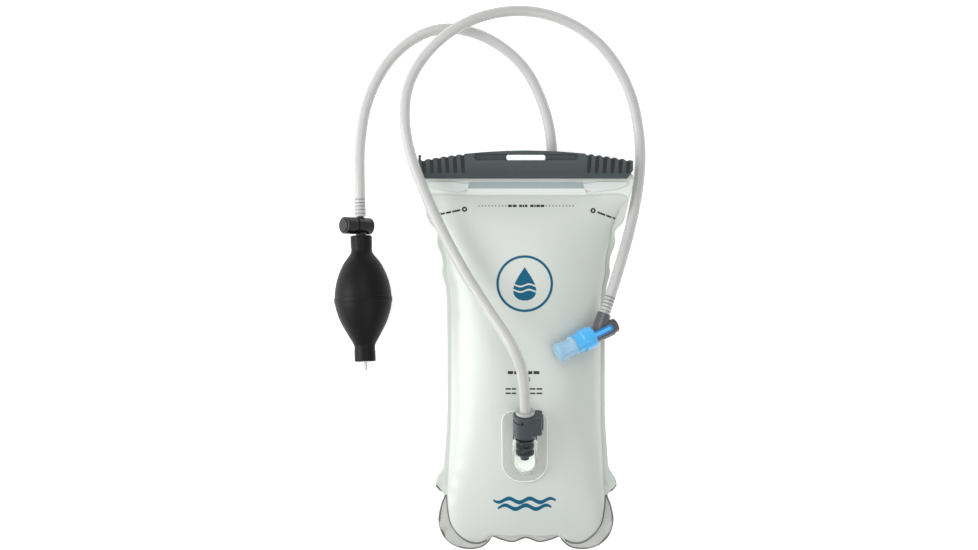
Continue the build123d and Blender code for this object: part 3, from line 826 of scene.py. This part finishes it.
def spoutPatch(name, centre, half, side, node):
    bm = flatShape(patchOutline(centre, half, 0), spacing=2.2)
    if side < 0:
        bmesh.ops.reverse_faces(bm, faces=bm.faces)
    drape(bm, spout["patchLift"], side)
    top = bmesh.ops.extrude_face_region(bm, geom=bm.faces[:])
    raised = [item for item in top["geom"] if isinstance(item, bmesh.types.BMVert)]
    cx, cy = centre
    for vert in raised:
        edge = min(half[0] - abs(vert.co.x - cx), half[1] - abs(vert.co.y - cy))
        lip = spout["lip"] * math.exp(-((edge - spout["lipAt"]) / spout["lipWide"]) ** 2)
        vert.co.z += side * (spout["patchThick"] + lip)
        vert.co.z = max(vert.co.z, 0.05)
    bmesh.ops.recalc_face_normals(bm, faces=bm.faces)
    finishPiece(name, bm, root, patchFilm, (node,))


def patchRim(name, centre, half, side):
    outline = patchOutline(centre, half, spout["rimInset"])
    lift = side * (spout["patchThick"] + 0.05)
    points = [(x, y, max(filmHeight(x, y, side) + lift, 0.5)) for x, y in outline]
    finishPiece(name, beadLine(points, spout["rim"]), root, rimFilm)


def spoutHood(name, place):
    outer, long, neck = spout["hoodRadius"], spout["hoodLong"], spout["neck"]
    inner = outer - spout["hoodWall"]
    profile = [(0, -long - outer)] + arcPoints((0, -long), outer, -math.pi / 2, math.pi / 2, 10)[1:]
    profile += [(outer, -1.0), (outer - 0.4, -0.4), (neck + 0.3, -0.3), (neck, -0.5), (neck, -1.5),
                (inner, -1.7)]
    profile += arcPoints((0, -long), inner, 0, -math.pi / 2, 10)[:-1] + [(0, -long - inner)]
    finishPiece(name + "Dome", lathe(profile, 56), root, clearMoulding, (), place)


def spoutSaddle(name, place):
    liner, long = spout["hoodRadius"] - spout["hoodWall"] - spout["saddleGap"], spout["hoodLong"]
    rings = [(liner, -2 - (long - 2) * number / 10) for number in range(11)]
    rings += arcPoints((0, -long), liner, 0, -math.pi / 2, 9)[1:-1]
    bm = bmesh.new()
    rows = len(rings) - 1
    bmesh.ops.create_grid(bm, x_segments=spout["saddleSteps"], y_segments=rows, size=0.5)
    for vert in bm.verts:
        a = math.radians(spout["saddleFrom"] + spout["saddleSweep"] * (vert.co.x + 0.5))
        radius, z = rings[round((vert.co.y + 0.5) * rows)]
        vert.co = (math.cos(a) * radius, math.sin(a) * radius, z)
    bmesh.ops.recalc_face_normals(bm, faces=bm.faces)
    bm = thicken(bm, spout["saddleWall"])
    finishPiece(name + "Saddle", bm, root, milkyMouldingPaintedGlow, (), place)


def outletWell():
    (cx, cy), half, top = spout["well"], spout["wellHalf"], spout["wellTop"]
    outline = arcPoints((cx, cy), half, math.pi, math.pi, 28) + [(cx + half, top), (cx - half, top)]
    well = drape(flatShape(outline), spout["patchThick"] + 0.25)
    finishPiece("outletWell", thicken(well, spout["wellThick"]), root, milkyMouldingPaintedGlow)


spoutPatch("outletPatch", spout["patchCentre"], spout["patchHalf"], 1, "outlet_port")
spoutPatch("airPatch", spout["airPatchCentre"], spout["airPatchHalf"], -1, "air_port")
patchRim("outletRim", spout["patchCentre"], spout["patchHalf"], 1)
patchRim("airRim", spout["airPatchCentre"], spout["airPatchHalf"], -1)
spoutHood("outletHood", frontPlace)
spoutSaddle("outletHood", frontPlace)
outletWell()
spoutHood("airHood", backPlace)
spoutSaddle("airHood", backPlace)
for node in ("outlet_socket", "air_socket"):
    softened(node, connectorPlastic, 0.35)
for node in ("outlet_latch", "air_latch"):
    softened(node, connectorPlastic, 0.3, body=node)
print("spouts made")


# slide bar and mouth strips

softened("slide_bar", barPlastic, 0.55, body="slide_bar")
bar = {
    "half": 93, "top": 173, "arch": 9, "edge": 1.6, "mid": 31,
    # near-black pads laid on the grip pocket floors as painted shade, a row towards each end
    "pockets": 6, "first": 54.5, "step": 6.8, "low": 154.1, "floor": 5.8, "padHalf": 1.5, "padThick": 0.12,
    "padLift": 0.08, "lean": 9, "slant": 4,
}


# the pads darken the grip pockets: painted shade in the recesses
def pocketShadePads():
    bm = bmesh.new()
    half = bar["padHalf"]
    for end in (-1, 1):
        for number in range(bar["pockets"]):
            x = end * (bar["first"] + bar["step"] * number)
            reach = bar["top"] - bar["arch"] * (x / bar["half"]) ** 2 - bar["edge"] - bar["low"]
            outline = arcPoints((0, 0.3), half, math.pi, math.pi, 8) + [(half, reach), (-half, reach)]
            for side in (-1, 1):
                pad = thicken(flatShape(outline, spacing=8), bar["padThick"])
                height = bar["mid"] + side * (bar["floor"] + bar["padLift"])
                joinInto(bm, pad, Matrix.Translation((x, bar["low"], height))
                         @ Matrix.Rotation(math.radians(-bar["slant"] * end), 4, "Z")
                         @ Matrix.Rotation(math.radians(-bar["lean"] * side), 4, "X"))
    finishPiece("pocketShadePads", bm, "slide_bar", pocketShade)


pocketShadePads()
for node in ("front_stiffener", "back_stiffener"):
    softened(node, paleMoulding, 0.35)


mouthSheet = {
    "thick": 0.25, "lift": 0.8, "rise": 1.3, "riseFrom": 134.4, "riseTo": 138.4,
    # each sheet's lower and upper edge and half width there
    "band": ((139.9, 50.6), (145.2, 49.4)), "strip": ((134.6, 53.4), (139.9, 50.6)),
}


def mouthPanel(name, side, edges, material):
    (low, lowHalf), (high, highHalf) = edges
    bm = flatShape([(-lowHalf, low), (lowHalf, low), (highHalf, high), (-highHalf, high)])
    for vert in bm.verts:
        share = smoothStep(vert.co.y, mouthSheet["riseFrom"], mouthSheet["riseTo"])
        vert.co.z = bag["seamZ"] + side * (mouthSheet["lift"] + mouthSheet["rise"] * share)
    finishPiece(name, thicken(bm, mouthSheet["thick"]), root, material)


for side, place in ((1, "front"), (-1, "back")):
    # each dark band is painted shadow under the slide bar
    mouthPanel(place + "Band", side, mouthSheet["band"], mouthShadowBand)
    mouthPanel(place + "Strip", side, mouthSheet["strip"], mouthFilm)
print("bar and mouth made")


# squeeze pump

pump = {
    "axis": joints["intake_ball_lift"]["axis"], "side": (1, 0, 0), "mid": (-142.1, 42.8, 25.7),
    "midAt": 53.8, "radius": 25.0, "bandProud": 0.45, "bandHalf": 2.4,
}
pumpAxis = Vector(pump["axis"]).normalized()
pumpPlace = axisFrame(Vector(pump["mid"]) - pumpAxis * pump["midAt"], pumpAxis, pump["side"])


def bulbProfile():
    mid, wide, half = pump["midAt"], pump["radius"], pump["bandHalf"]
    points = [(6.9, 0.6), (7.3, 0.0), (8.8, 0.0), (9.25, 0.5), (9.25, 9)]
    lower = through([(9.25, 9), (9.4, 14.5), (14.6, 24), (20.1, 34.4), (23.6, 44.6), (wide, mid - half)], 7)
    upper = through([(wide, mid + half), (24, 65.2), (21.2, 75.4), (16.4, 85.7), (9.7, 95), (9.3, 101)], 7)
    points += [(point.x, point.y) for point in lower[1:]]
    proud = wide + pump["bandProud"]
    points += [(proud - 0.1, mid - half + 0.25), (proud, mid - half + 0.7), (proud, mid + half - 0.7),
               (proud - 0.1, mid + half - 0.25)]
    points += [(point.x, point.y) for point in upper]
    points += [(9.4, 106), (9.4, 109.5), (9.0, 110), (7.2, 110), (6.92, 109.6), (6.92, 96), (5, 93),
               (17.5, 75), (wide - 3, mid), (16.5, 34), (5, 17), (6.9, 14)]
    return points


finishPiece("bulbRubber", lathe(bulbProfile(), 96, closed=True), root, blackRubber,
            ("squeeze_bulb",), pumpPlace, sharp=32)
for node in ("pump_tee", "vent_barrel", "tee_cap"):
    softened(node, blackPlastic, 0.3)
print("pump made")


# drinking valve

valve = {"axis": joints["bite_valve_twist"]["axis"], "knuckle": (77.241, 21.654, 51.75), "bite": 0.22}
valvePlace = axisFrame(valve["knuckle"], -Vector(valve["axis"]), (0, 0, 1))


def collarSleeve():
    profile = rounded([(6.75, 24.3), (9.5, 24.3), (9.85, 24.9), (9.85, 34.9), (9.5, 35.4), (8.75, 35.5),
                       (8.5, 36.1), (8.5, 42.6), (8.1, 43.1), (6.05, 43.1), (6.05, 38.1), (4.6, 38.1),
                       (4.6, 34.6), (6.75, 34.6)], 0.25, 2)
    bm = lathe(profile, 64, closed=True)
    pad = bmesh.new()
    # half width, low and high ends, and the radii of the inside and the crown
    tabs = ((pad, 3.0, 7.0, 26.0, 7.8, 9.85), (bm, 1.5, 8.8, 25.0, 9.3, 10.6))
    for target, half, low, high, floor, crown in tabs:
        outline = arcPoints((0, low + half), half, math.pi, math.pi, 14) + [(half, high), (-half, high)]
        tab = bmesh.new()
        base = tab.faces.new([tab.verts.new((floor, y, z)) for y, z in outline])
        raised = bmesh.ops.extrude_face_region(tab, geom=[base])["geom"]
        moved = [item for item in raised if isinstance(item, bmesh.types.BMVert)]
        for vert in moved:
            vert.co.x = math.sqrt(crown ** 2 - vert.co.y ** 2)
        bmesh.ops.recalc_face_normals(tab, faces=tab.faces)
        rim = [edge for edge in tab.edges if all(vert in moved for vert in edge.verts)]
        bmesh.ops.bevel(tab, geom=rim, offset=0.35, offset_type="OFFSET", segments=3, profile=0.5,
                        affect="EDGES", material=-1)
        joinInto(target, tab)
    finishPiece("collarPad", pad, "bite_valve", valveBlueDeep, (), valvePlace)
    replaced = ("valve_collar",)
    return finishPiece("twistCollar", bm, "bite_valve", valveBlue, replaced, valvePlace)


def biteMouth():
    profile = rounded([(4.1, 38.3), (5.9, 38.3), (5.9, 43.2), (8.85, 43.2), (8.85, 45.4), (8.2, 46.2),
                       (7.4, 47.6), (7.6, 53), (8.15, 57), (8.15, 59.1), (7.0, 60.5), (3.0, 60.5),
                       (0, 60.1), (0, 58.1), (4.5, 58.1), (5.8, 56.7), (5.6, 47), (4.1, 46)], 0.6, 3)
    bm = lathe(profile, 56)
    for vert in bm.verts:
        squeeze = valve["bite"] * smoothStep(vert.co.z, 46, 57)
        vert.co.x *= 1 - squeeze
        vert.co.y *= 1 + squeeze * 0.25
    replaced = ("mouthpiece",)
    return finishPiece("mouthSilicone", bm, "bite_valve", siliconeBlue, replaced, valvePlace)


elbow = softened("valve_elbow", valveGrey, 0.4)
collar = collarSleeve()
mouth = biteMouth()
print("valve made")


# finishes of the pieces whose shape comes straight from the frame

finishes = (
    (paleMoulding, ("front_bead", "back_bead", "intake_valve")),
    (frostedMoulding, ("outlet_plug_collar", "air_plug_collar")),
    (connectorPlastic, ("outlet_plug", "air_plug")),
    (sealRubber, ("outlet_plug_seal", "air_plug_seal", "valve_seal")),
    (ballSteel, ("intake_ball", "delivery_ball")),
    (blackPlastic, ("vent_button",)),
    (valveGrey, ("shut_off_plug",)),
)
for material, names in finishes:
    for node in names:
        frame["nodes"][node].material_slots[0].material = material


def pressedSpring(node):
    bm = inMillimetres(frame["nodes"][node].data)
    piece = finishPiece(node + "Coil", bm, None, springSteel, (node,))
    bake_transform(piece)


pressedSpring("outlet_latch_spring")
pressedSpring("air_latch_spring")
pressedSpring("vent_spring")


# hoses

def barbRings(name, points):
    bm = bmesh.new()
    radius, wide, proud = hoses["outer"], hoses["ringWide"], hoses["ringProud"]
    for number in range(hoses["rings"]):
        low = hoses["ringFrom"] + hoses["ringGap"] * number
        ring = [(radius - 0.3, low), (radius + 0.04, low + 0.1), (radius + proud, low + wide / 2),
                (radius + 0.04, low + wide - 0.1), (radius - 0.3, low + wide)]
        joinInto(bm, lathe(ring, 40, closed=True))
    place = axisFrame(points[-1], Vector(points[-2]) - Vector(points[-1]), (1, 0, 0))
    finishPiece(name, bm, root, barbShade, (), place)


makeHose("drinkHose", hoses["drink"], "drink_hose")
makeHose("airHose", hoses["air"], "air_hose")
barbRings("drinkBarbs", hoses["drink"])
barbRings("airBarbs", hoses["air"])
print("hoses made")


# floor and light

studioSet = {
    "floorHalf": 2.2, "floorDrop": 0.0006, "floorGlow": 0.45, "skyGlow": 0.55, "aim": (-0.03, 0.05, 0.03),
    # place, size and power of each lamp
    "keyLight": ((-1.4, 0.1, 0.75), 1.0, 18), "fillLight": ((0.6, -0.5, 1.6), 1.3, 7),
    "topLight": ((-0.1, 0.9, 1.5), 1.0, 5),
}


def paperFloor():
    bm = bmesh.new()
    bmesh.ops.create_grid(bm, x_segments=2, y_segments=2, size=studioSet["floorHalf"])
    mesh = bpy.data.meshes.new("floor")
    bm.to_mesh(mesh)
    bm.free()
    floor = bpy.data.objects.new("floor", mesh)
    floor.location.z = -studioSet["floorDrop"]
    bpy.context.scene.collection.objects.link(floor)
    mesh.materials.append(plastic("floorPaper", (0.93, 0.93, 0.93, 1), (0.92, 0.92, 0.92, 1), 0.9, bump=0.0,
                                  Emission_Color=(1, 1, 1, 1), Emission_Strength=studioSet["floorGlow"]))


def softLamp(name):
    place, size, power = studioSet[name]
    data = bpy.data.lights.new(name, "AREA")
    data.size = size
    data.energy = power
    lamp = bpy.data.objects.new(name, data)
    lamp.location = place
    aim = Vector(studioSet["aim"]) - Vector(place)
    lamp.rotation_euler = aim.to_track_quat("-Z", "Y").to_euler()
    bpy.context.scene.collection.objects.link(lamp)


def whiteSky():
    world = bpy.data.worlds.new("studio")
    bpy.context.scene.world = world
    world.use_nodes = True
    world.node_tree.nodes["Background"].inputs[0].default_value = (1, 1, 1, 1)
    world.node_tree.nodes["Background"].inputs[1].default_value = studioSet["skyGlow"]
    bpy.context.scene.view_settings.view_transform = "Standard"


paperFloor()
for name in ("keyLight", "fillLight", "topLight"):
    softLamp(name)
whiteSky()
print("floor and light made")
